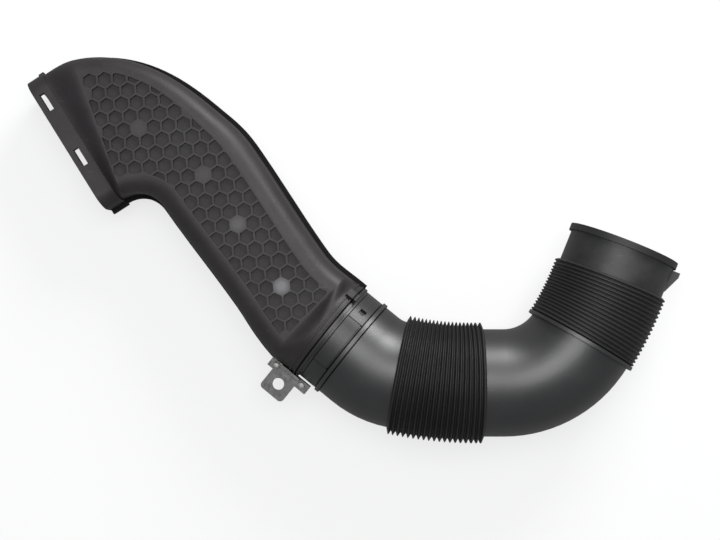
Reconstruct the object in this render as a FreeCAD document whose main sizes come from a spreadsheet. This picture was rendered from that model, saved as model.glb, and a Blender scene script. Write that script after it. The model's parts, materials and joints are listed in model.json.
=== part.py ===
import FreeCAD
import Part

import math
import os
from collections import namedtuple
from types import SimpleNamespace

import Sketcher
from FreeCAD import Placement, Rotation, Vector

# Air intake hose: a flat ribbed duct, a snap coupling, two smooth pipes, two bellows and an outlet cuff.
# Every axis runs along +X of its own local frame, in the direction of the air, and +Z is up.

SIZES = {
    # Smooth pipes and the way their ends sit in the bellows
    "pipe_outer": 76.0,
    "pipe_wall": 2.2,
    "sleeve_overlap": 6.0,
    "sleeve_clearance": 0.15,
    "front_run": 12.0,
    "front_bend_radius": 51.0,
    "front_bend_angle": 28.2,
    "elbow_run": 15.0,
    "elbow_radius": 64.0,
    "elbow_angle": 59.7,
    "elbow_bead_rise": 3.4,
    "elbow_bead_width": 2.4,
    # Bellows
    "bellows_wall": 1.2,
    "front_bellows_length": 60.6,
    "front_bellows_folds": 19,
    "front_fold_rise": 4.0,
    "front_bellows_turn": 10.8,
    "front_bellows_dip": 4.5,
    "rear_bellows_length": 47.0,
    "rear_bellows_folds": 17,
    "rear_fold_rise": 2.5,
    "rear_bellows_turn": 8.4,
    # Outlet cuff, its locking lug and its rim seal
    "cuff_length": 25.0,
    "lug_rise": 5.5,
    "lug_run": 16.0,
    "lug_width": 12.0,
    "lug_setback": 3.6,
    "seal_wall": 1.8,
    "seal_lap": 2.8,
    # Snap coupling between duct and hose
    "collar_length": 17.4,
    "collar_wall": 2.0,
    "collar_flange_rise": 1.2,
    "collar_flange_width": 2.2,
    "collar_tail": 6.0,
    "socket_depth": 13.0,
    "spigot_length": 12.0,
    "spigot_clearance": 0.2,
    "bead_rise": 1.5,
    "bead_width": 3.0,
    "bead_gap": 0.3,
    "ring_setback": 5.0,
    "ring_width": 3.0,
    "ring_depth": 1.2,
    "ring_clearance": 0.05,
    "pad_rise": 1.5,
    "pad_angle": 58.0,
    "pad_margin": 1.6,
    "window_size": 5.0,
    "window_angle": 44.0,
    "hook_width": 7.0,
    "hook_reach": 6.0,
    "hook_rise": 2.4,
    "hook_angle": 49.0,
    # Duct shells
    "duct_width": 75.0,
    "waist_width": 70.5,
    "duct_wall": 3.0,
    "duct_run": 96.6,
    "round_run": 45.0,
    "upper_height": 32.0,
    "lower_height": 23.5,
    "duct_end_half": 38.5,
    "duct_tail": 7.0,
    "end_turn": 15.7,
    "end_turn_radius": 133.0,
    "mouth_turn": 86.9,
    "mouth_taper_turn": 72.0,
    "inner_turn_radius": 23.5,
    "mouth_width": 104.5,
    "mouth_upper_height": 25.0,
    "mouth_lower_height": 20.0,
    "mouth_run": 13.0,
    "mouth_band_rise": 1.2,
    "shoulder_radius": 14.5,
    "mouth_shoulder": 10.0,
    "end_shoulder": 35.0,
    "flange_width": 3.0,
    "flange_thickness": 1.8,
    "tail_clearance": 0.2,
    "slot_length": 13.5,
    "slot_width": 4.0,
    "slot_inset": 6.0,
    "slot_pitch": 46.0,
    "slot_offset": 20.0,
    "nub_size": 4.0,
    "nub_reach": 3.0,
    "nub_inset": 9.0,
    # Honeycomb of shallow pockets on the upper shell
    "cell_pitch": 10.6,
    "cell_rib": 1.5,
    "cell_depth": 2.0,
    "comb_margin": 1.0,
    "comb_start_turn": 11.5,
    "comb_end_gap": 17.5,
    # Mounting bracket and its rivets
    "seat_length": 34.0,
    "seat_width": 7.0,
    "seat_setback": 3.5,
    "seat_gap": 0.6,
    "bracket_thickness": 2.0,
    "bracket_lip": 4.5,
    "tab_length": 15.5,
    "tab_width": 20.0,
    "tab_offset": 2.0,
    "tab_corner": 3.0,
    "tab_hole": 8.5,
    "tab_hole_inset": 9.5,
    "rivet_pitch": 23.0,
    "rivet_shank": 4.0,
    "rivet_head": 5.6,
    "rivet_head_height": 1.5,
    "rivet_clearance": 0.1,
}

doc = FreeCAD.newDocument("air_intake_hose")
sheet = doc.addObject("Spreadsheet::Sheet", "Sizes")
for row, (alias, number) in enumerate(SIZES.items(), start=1):
    sheet.set(f"A{row}", alias)
    sheet.set(f"B{row}", str(number))
    sheet.setAlias(f"B{row}", alias)
doc.recompute()
size = SimpleNamespace(**{alias: float(sheet.get(alias)) for alias in SIZES})

# Radii that several pieces share, as expressions for the document and as numbers
PIPE_R = "Sizes.pipe_outer / 2"
BORE_R = "(Sizes.pipe_outer / 2 - Sizes.pipe_wall)"
SOCKET_R = "(Sizes.pipe_outer / 2 - Sizes.collar_wall)"
SPIGOT_R = "(Sizes.pipe_outer / 2 - Sizes.collar_wall - Sizes.spigot_clearance)"
TAIL_R = "(Sizes.duct_end_half - Sizes.duct_wall - Sizes.tail_clearance)"
X_AXIS = Vector(1, 0, 0)
Y_AXIS = Vector(0, 1, 0)
Z_AXIS = Vector(0, 0, 1)

parts = []


# Frames along the air path

def straight(frame, length):
    """The frame a straight length further along its own +X."""
    return frame * Placement(Vector(length, 0, 0), Rotation())


def bend(frame, length, axis, angle):
    """The frame an arc length further along a bend of that angle about a local axis."""
    centre = axis.cross(X_AXIS) * (length / math.radians(angle))
    turn = Placement(Vector(), Rotation(axis, angle))
    return frame * Placement(centre, Rotation()) * turn * Placement(-centre, Rotation())


def bellows_frame(start, length, axis, angle, place):
    """The frame at a place along a bellows: a straight sleeve, an even bend and a straight sleeve."""
    sleeve = size.sleeve_overlap
    curved = length - 2 * sleeve
    if place <= sleeve:
        return straight(start, place)
    turned = min(place - sleeve, curved)
    frame = bend(straight(start, sleeve), turned, axis, angle * turned / curved)
    return straight(frame, place - sleeve - turned)


elbow_frame = Placement()
front_axis = Vector(0, size.front_bellows_dip, size.front_bellows_turn)
front_angle = front_axis.Length
front_axis.normalize()
sleeve_end = straight(elbow_frame, -size.sleeve_overlap)
front_curve = size.front_bellows_length - 2 * size.sleeve_overlap
bellows_front_end = straight(bend(sleeve_end, -front_curve, front_axis, -front_angle), -size.sleeve_overlap)
front_arc = size.front_bend_radius * math.radians(size.front_bend_angle)
front_bend_start = bend(bellows_front_end, -front_arc, Z_AXIS, -size.front_bend_angle)
duct_frame = straight(front_bend_start, -size.front_run - size.bead_width)
elbow_arc = size.elbow_radius * math.radians(size.elbow_angle)
rear_start = bend(straight(elbow_frame, size.elbow_run), elbow_arc, Z_AXIS, size.elbow_angle)
cuff_frame = bellows_frame(
    rear_start, size.rear_bellows_length, Z_AXIS, size.rear_bellows_turn, size.rear_bellows_length)


# Building blocks

def bind(obj, **formulas):
    """Bind properties of an object to the sheet; two underscores stand for a dot."""
    for name, formula in formulas.items():
        obj.setExpression(name.replace("__", "."), formula)
    return obj


def primitive(kind, name, turn=None, **formulas):
    """A primitive whose sizes and place are bound to the sheet."""
    obj = doc.addObject(f"Part::{kind}", name)
    if turn:
        obj.Placement = Placement(Vector(), turn)
    return bind(obj, **formulas)


def cut(name, base, tool):
    """One solid less another."""
    obj = doc.addObject("Part::Cut", name)
    obj.Base = base
    obj.Tool = tool
    return obj


def fuse(name, *shapes):
    """Several solids as one."""
    obj = doc.addObject("Part::MultiFuse", name)
    obj.Shapes = list(shapes)
    return obj


def feature(name, shape):
    """A document object that holds a shape worked out from the sheet."""
    obj = doc.addObject("Part::Feature", name)
    obj.Shape = shape
    return obj


def finish_part(obj, label, frame):
    """Name a finished sub-part and note the frame it was modelled in."""
    obj.Label = label
    parts.append((obj, frame))


def tube(name, start, length, outer, inner):
    """A straight tube along X."""
    along = Rotation(Y_AXIS, 90)
    place = {"Height": length, "Placement__Base__x": start}
    skin = primitive("Cylinder", f"{name}_skin", along, Radius=outer, **place)
    hollow = primitive("Cylinder", f"{name}_hollow", along, Radius=inner, **place)
    return cut(name, skin, hollow)


def bent_tube(name, start, radius, angle, outer, inner):
    """A tube that leaves X in a left-hand bend."""
    place = {"Radius1": radius, "Angle3": angle, "Placement__Base__x": start, "Placement__Base__y": radius}
    skin = primitive("Torus", f"{name}_skin", Rotation(Z_AXIS, -90), Radius2=outer, **place)
    hollow = primitive("Torus", f"{name}_hollow", Rotation(Z_AXIS, -90), Radius2=inner, **place)
    return cut(name, skin, hollow)


def sketch_on(body, name, role, corners):
    """A closed outline whose corners are bound, one by one, to formulas."""
    sketch = body.newObject("Sketcher::SketchObject", name)
    plane = [item for item in body.Origin.OriginFeatures if item.Role == role][0]
    sketch.AttachmentSupport = [(plane, "")]
    sketch.MapMode = "FlatFace"
    values = [[float(body.evalExpression(formula)) for formula in corner] for corner in corners]
    count = len(corners)
    for index in range(count):
        begin = Vector(*values[index], 0)
        end = Vector(*values[(index + 1) % count], 0)
        sketch.addGeometry(Part.LineSegment(begin, end), False)
    for index in range(count):
        sketch.addConstraint(Sketcher.Constraint("Coincident", index, 2, (index + 1) % count, 1))
    for index, corner in enumerate(corners):
        for kind, value, formula in zip(("DistanceX", "DistanceY"), values[index], corner):
            number = sketch.addConstraint(Sketcher.Constraint(kind, index, 1, value))
            sketch.setExpression(f"Constraints[{number}]", formula)
    return sketch


def circle_on(body, name, role, x, y, radius):
    """A sketch of one circle."""
    sketch = body.newObject("Sketcher::SketchObject", name)
    plane = [item for item in body.Origin.OriginFeatures if item.Role == role][0]
    sketch.AttachmentSupport = [(plane, "")]
    sketch.MapMode = "FlatFace"
    place = [float(body.evalExpression(formula)) for formula in (x, y, radius)]
    sketch.addGeometry(Part.Circle(Vector(place[0], place[1], 0), Z_AXIS, place[2]), False)
    for kind, position, value, formula in zip(("DistanceX", "DistanceY"), (3, 3), place, (x, y)):
        number = sketch.addConstraint(Sketcher.Constraint(kind, 0, position, value))
        sketch.setExpression(f"Constraints[{number}]", formula)
    number = sketch.addConstraint(Sketcher.Constraint("Radius", 0, place[2]))
    sketch.setExpression(f"Constraints[{number}]", radius)
    return sketch


def turned(body, name, sketch, angle=None):
    """Revolve an outline about the X axis, fully or through an angle centred on its plane."""
    obj = body.newObject("PartDesign::Revolution", name)
    obj.Profile = sketch
    obj.ReferenceAxis = (sketch, ["H_Axis"])
    if angle:
        obj.Midplane = True
        obj.setExpression("Angle", angle)
    return obj


def pad(body, name, sketch, length, midplane=False):
    """Extrude an outline."""
    obj = body.newObject("PartDesign::Pad", name)
    obj.Profile = sketch
    obj.Midplane = midplane
    obj.setExpression("Length", length)
    return obj


# Bellows

def folded_skin(length, axis, angle, folds, root, crest):
    """A ruled solid through the roots and crests of a bellows, from end to end."""
    pitch = length / folds
    stations = [(fold * pitch, root) for fold in range(folds + 1)]
    stations += [((fold + 0.5) * pitch, crest) for fold in range(folds)]
    across = Placement(Vector(), Rotation(Y_AXIS, 90))
    wires = []
    for place, radius in sorted(stations):
        circle = Part.Wire(Part.makeCircle(radius))
        circle.Placement = bellows_frame(Placement(), length, axis, angle, place) * across
        wires.append(circle)
    return Part.makeLoft(wires, True, True)


def smooth_bore(length, axis, angle, radius):
    """A smooth solid along a bellows: a straight sleeve, an even bend and a straight sleeve."""
    places = (0, size.sleeve_overlap, length / 2, length - size.sleeve_overlap, length)
    points = [bellows_frame(Placement(), length, axis, angle, place).Base for place in places]
    lead_in = Part.LineSegment(points[0], points[1]).toShape()
    curve = Part.Arc(*points[1:4]).toShape()
    lead_out = Part.LineSegment(points[3], points[4]).toShape()
    circle = Part.Wire(Part.makeCircle(radius, points[0], X_AXIS))
    return Part.Wire([lead_in, curve, lead_out]).makePipeShell([circle], True, False)


def make_bellows(label, start, length, folds, rise, axis, angle):
    """A soft sleeve folded into sharp ridges outside and smooth inside, open from end to end."""
    inner = size.pipe_outer / 2 + size.sleeve_clearance
    root = inner + size.bellows_wall
    skin = folded_skin(length, axis, angle, int(folds), root, root + rise)
    bore = smooth_bore(length, axis, angle, inner)
    finish_part(feature(label, skin.cut(bore)), label, start)


make_bellows("front_bellows", bellows_front_end, size.front_bellows_length, size.front_bellows_folds,
             size.front_fold_rise, front_axis, front_angle)
make_bellows("rear_bellows", rear_start, size.rear_bellows_length, size.rear_bellows_folds,
             size.rear_fold_rise, Z_AXIS, size.rear_bellows_turn)


# Elbow pipe

elbow_entry = tube("elbow_entry", "-Sizes.sleeve_overlap", "Sizes.sleeve_overlap + Sizes.elbow_run",
                   PIPE_R, BORE_R)
elbow_curve = bent_tube("elbow_curve", "Sizes.elbow_run", "Sizes.elbow_radius", "Sizes.elbow_angle",
                        PIPE_R, BORE_R)
elbow_exit = tube("elbow_exit", "0", "Sizes.sleeve_overlap", PIPE_R, BORE_R)
elbow_bead = tube("elbow_bead", "-Sizes.elbow_bead_width - Sizes.sleeve_clearance", "Sizes.elbow_bead_width",
                  f"{PIPE_R} + Sizes.elbow_bead_rise", f"{PIPE_R} - Sizes.pipe_wall / 2")
doc.recompute()
elbow_tip = fuse("elbow_tip", elbow_exit, elbow_bead)
elbow_tip.Placement = elbow_frame.inverse() * rear_start
finish_part(fuse("elbow", elbow_entry, elbow_curve, elbow_tip), "elbow_pipe", elbow_frame)


# Front pipe with the spigot that plugs into the coupling

spigot = doc.addObject("PartDesign::Body", "spigot")
ring_back = "-(Sizes.ring_setback + Sizes.ring_width)"
ring_front = "-Sizes.ring_setback"
groove_r = f"{SPIGOT_R} - Sizes.ring_depth"
spigot_bore = f"{BORE_R} - Sizes.collar_wall - Sizes.spigot_clearance"
spigot_outline = sketch_on(spigot, "spigot_outline", "XY_Plane", [
    ("-Sizes.spigot_length", spigot_bore),
    ("Sizes.bead_width", spigot_bore),
    ("Sizes.bead_width", f"{PIPE_R} + Sizes.bead_rise"),
    ("0", f"{PIPE_R} + Sizes.bead_rise"),
    ("0", SPIGOT_R),
    (ring_front, SPIGOT_R),
    (ring_front, groove_r),
    (ring_back, groove_r),
    (ring_back, SPIGOT_R),
    ("-Sizes.spigot_length", SPIGOT_R),
])
turned(spigot, "spigot_turned", spigot_outline)
front_entry = tube("front_entry", "Sizes.bead_width", "Sizes.front_run", PIPE_R, BORE_R)
front_bent = bent_tube("front_bent", "Sizes.bead_width + Sizes.front_run", "Sizes.front_bend_radius",
                       "Sizes.front_bend_angle", PIPE_R, BORE_R)
front_exit = tube("front_exit", "0", "Sizes.sleeve_overlap", PIPE_R, BORE_R)
doc.recompute()
front_exit.Placement = duct_frame.inverse() * bellows_front_end
finish_part(fuse("front", spigot, front_entry, front_bent, front_exit), "front_pipe", duct_frame)

seal_ring = doc.addObject("PartDesign::Body", "seal_ring")
seal_ring_outline = sketch_on(seal_ring, "seal_ring_outline", "XY_Plane", [
    (f"{ring_back} + Sizes.ring_clearance", f"{groove_r} + Sizes.ring_clearance"),
    (f"{ring_front} - Sizes.ring_clearance", f"{groove_r} + Sizes.ring_clearance"),
    (f"{ring_front} - Sizes.ring_clearance", f"{SOCKET_R} - Sizes.ring_clearance"),
    (f"{ring_back} + Sizes.ring_clearance", f"{SOCKET_R} - Sizes.ring_clearance"),
])
turned(seal_ring, "seal_ring_turned", seal_ring_outline)
finish_part(seal_ring, "coupling_seal", duct_frame)


# Snap coupling collar: a tail inside the duct, a flange, a socket for the spigot and a raised grip pad

collar = doc.addObject("PartDesign::Body", "collar")
collar_back = "-Sizes.collar_length"
flange_front = "-(Sizes.collar_length - Sizes.collar_flange_width)"
tail_bore = f"{TAIL_R} - Sizes.collar_wall"
collar_outline = sketch_on(collar, "collar_outline", "XY_Plane", [
    ("-(Sizes.collar_length + Sizes.collar_tail)", tail_bore),
    ("-Sizes.socket_depth", tail_bore),
    ("-Sizes.socket_depth", SOCKET_R),
    ("-Sizes.bead_gap", SOCKET_R),
    ("-Sizes.bead_gap", PIPE_R),
    (flange_front, PIPE_R),
    (flange_front, f"{PIPE_R} + Sizes.collar_flange_rise"),
    (collar_back, f"{PIPE_R} + Sizes.collar_flange_rise"),
    (collar_back, TAIL_R),
    ("-(Sizes.collar_length + Sizes.collar_tail)", TAIL_R),
])
turned(collar, "collar_turned", collar_outline)
pad_back = f"{flange_front} + Sizes.pad_margin"
pad_front = "-Sizes.bead_gap - Sizes.pad_margin"
pad_outline = sketch_on(collar, "pad_outline", "XZ_Plane", [
    (pad_back, f"{PIPE_R} - Sizes.collar_wall / 2"),
    (pad_front, f"{PIPE_R} - Sizes.collar_wall / 2"),
    (pad_front, f"{PIPE_R} + Sizes.pad_rise"),
    (pad_back, f"{PIPE_R} + Sizes.pad_rise"),
])
turned(collar, "grip_pad", pad_outline, "Sizes.pad_angle")

window = primitive("Box", "window_block", Length="Sizes.window_size", Width="Sizes.window_size",
                   Height=f"{PIPE_R}", Placement__Base__x=f"-Sizes.socket_depth / 2 - Sizes.window_size / 2",
                   Placement__Base__y="-Sizes.window_size / 2", Placement__Base__z=f"{PIPE_R} / 2")
window_tool = doc.addObject("Part::Compound", "window_tool")
window_tool.Links = [window]
hook_foot_r = f"({PIPE_R} + Sizes.collar_flange_rise / 2)"
hook_lift = ("(Sizes.end_shoulder + (Sizes.duct_end_half - Sizes.end_shoulder) * sqrt(2)"
             " + Sizes.tail_clearance)")
hook_foot = primitive("Box", "hook_foot", Length="Sizes.collar_flange_width", Width="Sizes.hook_width",
                      Height=f"{hook_lift} + Sizes.hook_rise - {hook_foot_r}",
                      Placement__Base__x=collar_back, Placement__Base__y="-Sizes.hook_width / 2",
                      Placement__Base__z=hook_foot_r)
hook_finger = primitive("Box", "hook_finger", Length="Sizes.hook_reach + Sizes.collar_flange_width",
                        Width="Sizes.hook_width", Height="Sizes.hook_rise",
                        Placement__Base__x=f"{collar_back} - Sizes.hook_reach",
                        Placement__Base__y="-Sizes.hook_width / 2", Placement__Base__z=hook_lift)
hook = fuse("hook", hook_foot, hook_finger)
doc.recompute()
window_tool.Placement = Placement(Vector(), Rotation(X_AXIS, -size.window_angle))
hook.Placement = Placement(Vector(), Rotation(X_AXIS, -size.hook_angle))
collar_open = cut("collar_open", collar, window_tool)
finish_part(fuse("collar_whole", collar_open, hook), "coupling_collar", duct_frame)


# Outlet cuff with its locking lug, and the rubber seal on its rim

cuff = doc.addObject("PartDesign::Body", "cuff")
cuff_outline = sketch_on(cuff, "cuff_outline", "XY_Plane", [
    ("-Sizes.sleeve_overlap", BORE_R),
    ("Sizes.cuff_length", BORE_R),
    ("Sizes.cuff_length", PIPE_R),
    ("-Sizes.sleeve_overlap", PIPE_R),
])
turned(cuff, "cuff_turned", cuff_outline)
lug_front = "(Sizes.cuff_length - Sizes.lug_setback)"
lug_outline = sketch_on(cuff, "lug_outline", "XY_Plane", [
    (f"{lug_front} - Sizes.lug_run", f"-({PIPE_R} - Sizes.pipe_wall / 2)"),
    (lug_front, f"-({PIPE_R} - Sizes.pipe_wall / 2)"),
    (lug_front, f"-({PIPE_R} + Sizes.lug_rise)"),
    (f"{lug_front} - Sizes.lug_setback", f"-({PIPE_R} + Sizes.lug_rise)"),
    (f"{lug_front} - Sizes.lug_run", f"-{PIPE_R}"),
])
pad(cuff, "locking_lug", lug_outline, "Sizes.lug_width", midplane=True)
finish_part(cuff, "outlet_cuff", cuff_frame)

rim = doc.addObject("PartDesign::Body", "rim")
rim_r = f"({PIPE_R} + Sizes.sleeve_clearance)"
rim_outline = sketch_on(rim, "rim_outline", "XY_Plane", [
    ("Sizes.cuff_length - Sizes.seal_lap", rim_r),
    ("Sizes.cuff_length", rim_r),
    ("Sizes.cuff_length", BORE_R),
    ("Sizes.cuff_length + Sizes.seal_wall", BORE_R),
    ("Sizes.cuff_length + Sizes.seal_wall", f"{rim_r} + Sizes.seal_wall"),
    ("Sizes.cuff_length - Sizes.seal_lap", f"{rim_r} + Sizes.seal_wall"),
])
turned(rim, "rim_turned", rim_outline)
finish_part(rim, "outlet_seal", cuff_frame)


# Duct path: the inlet mouth, a turn about an inner pivot, a straight run and a gentle turn into the coupling

Station = namedtuple("Station", "x y heading width height shoulder")
mouth_arc = (size.inner_turn_radius + size.duct_width / 2) * math.radians(size.mouth_turn)
run_end = mouth_arc + size.duct_run
tail_start = run_end + size.end_turn_radius * math.radians(size.end_turn)
duct_end = tail_start + size.duct_tail
end_heading = math.radians(-size.end_turn)
comb_start = mouth_arc * size.comb_start_turn / size.mouth_turn
comb_end = duct_end - size.comb_end_gap
waist = tail_start - size.round_run
UPPER = 1
LOWER = -1
HEIGHTS = {UPPER: (size.mouth_upper_height, size.upper_height),
           LOWER: (size.mouth_lower_height, size.lower_height)}
FLAT_ENDS = {UPPER: comb_end, LOWER: waist}


def left_of(heading):
    """Unit vector to the left of a heading in the plan."""
    return Vector(-math.sin(heading), math.cos(heading), 0)


def ahead_of(heading):
    """Unit vector along a heading in the plan."""
    return Vector(math.cos(heading), math.sin(heading), 0)


def ease(share):
    """A smooth step from 0 to 1."""
    share = min(max(share, 0.0), 1.0)
    return share * share * (3 - 2 * share)


def blend(start, end, share):
    """A value part of the way from one to another."""
    return start + (end - start) * share


tail_point = Vector(-size.collar_length - size.duct_tail, 0, 0)
end_centre = tail_point + Vector(0, size.end_turn_radius, 0)
run_point = end_centre - left_of(end_heading) * size.end_turn_radius
mouth_exit = run_point - ahead_of(end_heading) * size.duct_run
pivot = mouth_exit - left_of(end_heading) * (size.inner_turn_radius + size.duct_width / 2)


def duct_station(place, side):
    """Centre, heading and half section of the duct at a length along its centre line."""
    flat_end = FLAT_ENDS[side]
    round_share = ease((place - flat_end) / (tail_start - flat_end))
    width = blend(size.duct_width, size.waist_width, ease((place - mouth_arc) / (waist - mouth_arc)))
    width = blend(width, 2 * size.duct_end_half, ease((place - waist) / (tail_start - waist)))
    if place < mouth_arc:
        turned_by = size.mouth_turn * place / mouth_arc
        heading = math.radians(size.mouth_turn - size.end_turn - turned_by)
        width = blend(size.mouth_width, size.duct_width, ease(turned_by / size.mouth_taper_turn))
        centre = pivot + left_of(heading) * (size.inner_turn_radius + width / 2)
    elif place < run_end:
        heading = end_heading
        centre = mouth_exit + ahead_of(heading) * (place - mouth_arc)
    elif place < tail_start:
        heading = end_heading + (place - run_end) / size.end_turn_radius
        centre = end_centre - left_of(heading) * size.end_turn_radius
    else:
        heading = 0.0
        centre = tail_point + X_AXIS * (place - tail_start)
    mouth_height, height = HEIGHTS[side]
    height = blend(mouth_height, height, ease(place / comb_start))
    height = blend(height, size.duct_end_half, round_share)
    shoulder = blend(size.mouth_shoulder, size.shoulder_radius, ease(place / mouth_arc))
    shoulder = blend(shoulder, size.end_shoulder, round_share)
    return Station(centre.x, centre.y, heading, width, height, shoulder)


def plan_point(station, across, up):
    """A point of a station's section: across to the left of the heading, and up."""
    return Vector(station.x, station.y, 0) + left_of(station.heading) * across + Z_AXIS * up


def hat_wire(station, side, band=0.0):
    """Outline of one half of the duct's wall with its weld flange."""
    half = station.width / 2 + band
    top = station.height + band
    radius = station.shoulder + band
    inner_half = station.width / 2 - size.duct_wall
    inner_top = station.height - size.duct_wall
    inner_radius = station.shoulder - size.duct_wall
    rim_edge = half + size.flange_width

    def at(across, up):
        return plan_point(station, across, side * up)

    def line(*ends):
        return Part.LineSegment(at(*ends[0]), at(*ends[1])).toShape()

    def corner(hand, half_width, height, round_radius):
        middle = round_radius * (1 - math.sqrt(0.5))
        points = [(half_width, height - round_radius), (half_width - middle, height - middle),
                  (half_width - round_radius, height)]
        if hand < 0:
            points.reverse()
        return Part.Arc(*[at(hand * across, up) for across, up in points]).toShape()

    def profile(half_width, height, round_radius, foot):
        return [line((half_width, foot), (half_width, height - round_radius)),
                corner(1, half_width, height, round_radius),
                line((half_width - round_radius, height), (round_radius - half_width, height)),
                corner(-1, half_width, height, round_radius),
                line((-half_width, height - round_radius), (-half_width, foot))]

    flange = size.flange_thickness
    edges = [line((inner_half, 0), (rim_edge, 0)), line((rim_edge, 0), (rim_edge, flange)),
             line((rim_edge, flange), (half, flange))]
    edges += profile(half, top, radius, flange)
    edges += [line((-half, flange), (-rim_edge, flange)), line((-rim_edge, flange), (-rim_edge, 0)),
              line((-rim_edge, 0), (-inner_half, 0))]
    inside = profile(inner_half, inner_top, inner_radius, 0)
    return Part.Wire(edges + inside[::-1])


mouth = {side: duct_station(0, side) for side in (UPPER, LOWER)}
mouth_place = Placement(Vector(mouth[UPPER].x, mouth[UPPER].y, 0),
                        Rotation(Z_AXIS, math.degrees(mouth[UPPER].heading)))


SHORT_INTERVALS = 6
LONG_INTERVALS = 36


def loft_stretch(side, begin, end, intervals):
    """Faces of the duct's wall between two places along it."""
    places = [blend(begin, end, index / intervals) for index in range(intervals + 1)]
    return Part.makeLoft([hat_wire(duct_station(place, side), side) for place in places], False, False).Faces


def half_shell(side):
    """One half of the duct: the mouth's band, its ramp, the flat stretch, the rounding end and the tail."""
    flat_end = FLAT_ENDS[side]
    faces = loft_stretch(side, 0, comb_start, SHORT_INTERVALS)
    faces += loft_stretch(side, comb_start, flat_end, LONG_INTERVALS)
    faces += loft_stretch(side, flat_end, tail_start, SHORT_INTERVALS)
    faces += loft_stretch(side, tail_start, duct_end, 1)
    faces += [Part.Face(hat_wire(duct_station(place, side), side)) for place in (0, duct_end)]
    wall = Part.Shell(faces)
    wall.sewShape()
    band_face = Part.Face(hat_wire(mouth[side], side, size.mouth_band_rise))
    band = band_face.extrude(ahead_of(mouth[side].heading) * -size.mouth_run)
    return band.fuse(Part.Solid(wall))


# Honeycomb pockets in the flat of the upper shell, with a few cells left whole for the ejector pins

COMB_SAMPLES = 40
FLAT_CELLS = 4


def comb_region():
    """Plan outline of the honeycomb as a face."""
    outer = []
    inner = []
    for index in range(COMB_SAMPLES + 1):
        place = blend(comb_start + size.comb_margin, comb_end - size.comb_margin, index / COMB_SAMPLES)
        station = duct_station(place, UPPER)
        reach = station.width / 2 - station.shoulder - size.comb_margin
        outer.append(plan_point(station, reach, station.height))
        inner.append(plan_point(station, -reach, station.height))
    points = outer + inner[::-1]
    return Part.Face(Part.makePolygon(points + points[:1]))


def cell_centres(region):
    """Centres of a hexagon grid in line with the duct's straight run."""
    along = ahead_of(end_heading) * size.cell_pitch
    diagonal = ahead_of(end_heading + math.radians(60)) * size.cell_pitch
    box = region.BoundBox
    reach = int(box.DiagonalLength / size.cell_pitch) + 1
    box.enlarge(size.cell_pitch)
    origin = mouth_exit + Z_AXIS * size.upper_height
    grid = range(-reach, reach + 1)
    centres = [origin + along * step + diagonal * row for row in grid for step in grid]
    return [centre for centre in centres if box.isInside(centre)]


def comb_cells():
    """Hexagons of the honeycomb, clipped to its region."""
    region = comb_region()
    centres = cell_centres(region)
    flat_pitch = (comb_end - comb_start) / FLAT_CELLS
    marks = [duct_station(comb_end - flat_pitch * (index + 0.5), UPPER) for index in range(FLAT_CELLS)]
    targets = [plan_point(mark, 0, mark.height) for mark in marks]
    flat = [min(centres, key=target.distanceToPoint) for target in targets]
    radius = (size.cell_pitch - size.cell_rib) / math.sqrt(3)
    turns = [end_heading + math.radians(60 * index + 30) for index in range(6)]
    cells = []
    for centre in centres:
        if centre not in flat:
            points = [centre + ahead_of(turn) * radius for turn in turns]
            cells.append(Part.Face(Part.makePolygon(points + points[:1])))
    clipped = Part.makeCompound(cells).common(region)
    return [face for face in clipped.Faces if face.Area > size.cell_pitch * size.cell_rib]


def with_pockets(shell):
    """The upper shell with its flat top face opened into honeycomb pockets."""
    level = [face for face in shell.Faces if face.BoundBox.ZLength < 0.001
             and abs(face.BoundBox.ZMax - size.upper_height) < 0.001]
    top = max(level, key=lambda face: face.Area)
    faces = [face for face in shell.Faces if not face.isSame(top)]
    plain = Part.Shell(faces + [Part.Face(top.OuterWire)])
    plain.sewShape()
    pockets = [cell.translated(Z_AXIS * -size.cell_depth).extrude(Z_AXIS * 2 * size.cell_depth)
               for cell in comb_cells()]
    return Part.Solid(plain).cut(Part.makeCompound(pockets))


# Clip slots, locating nub and bracket seat that both shells share

SEAT_Y = "(Sizes.pipe_outer / 2 + Sizes.collar_flange_rise + Sizes.seat_gap)"
SEAT_X = "(Sizes.seat_setback + Sizes.seat_length / 2)"
RIVET_Y = f"-({SEAT_Y} + Sizes.seat_width / 2)"


def clip_slots(name, side):
    """Two windows through the mouth's band."""
    boxes = []
    for index in range(2):
        box = primitive("Box", f"{name}_slot_{index}", Length="Sizes.slot_width", Width="Sizes.slot_length",
                        Height="2 * Sizes.mouth_upper_height")
        across = size.mouth_width / 2 - size.slot_offset - index * size.slot_pitch - size.slot_length / 2
        low = 0 if side == UPPER else -size.mouth_lower_height * 2
        corner = Vector(size.slot_inset - size.slot_width / 2 - size.mouth_run, across, low)
        box.Placement = mouth_place * Placement(corner, Rotation())
        boxes.append(box)
    return boxes


def bracket_seat(name, side):
    """A lug on the weld flange that carries the bracket."""
    low = "0" if side == UPPER else "-Sizes.flange_thickness"
    return primitive("Box", f"{name}_seat", Length="Sizes.seat_length", Width="Sizes.seat_width",
                     Height="Sizes.flange_thickness",
                     Placement__Base__x="-(Sizes.seat_setback + Sizes.seat_length)",
                     Placement__Base__y=f"-({SEAT_Y} + Sizes.seat_width)", Placement__Base__z=low)


def rivet_x(hand):
    """Formula for a rivet's place along the seat."""
    return f"-{SEAT_X} + {hand} * Sizes.rivet_pitch / 2"


def rivet_bores(name, bottom):
    """Two bores through the seat."""
    place = {"Placement__Base__y": RIVET_Y, "Placement__Base__z": bottom}
    return [primitive("Cylinder", f"{name}_bore_{index}", Height="Sizes.flange_thickness",
                      Radius="Sizes.rivet_shank / 2 + Sizes.rivet_clearance",
                      Placement__Base__x=rivet_x(hand), **place)
            for index, hand in enumerate((-1, 1))]


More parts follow.
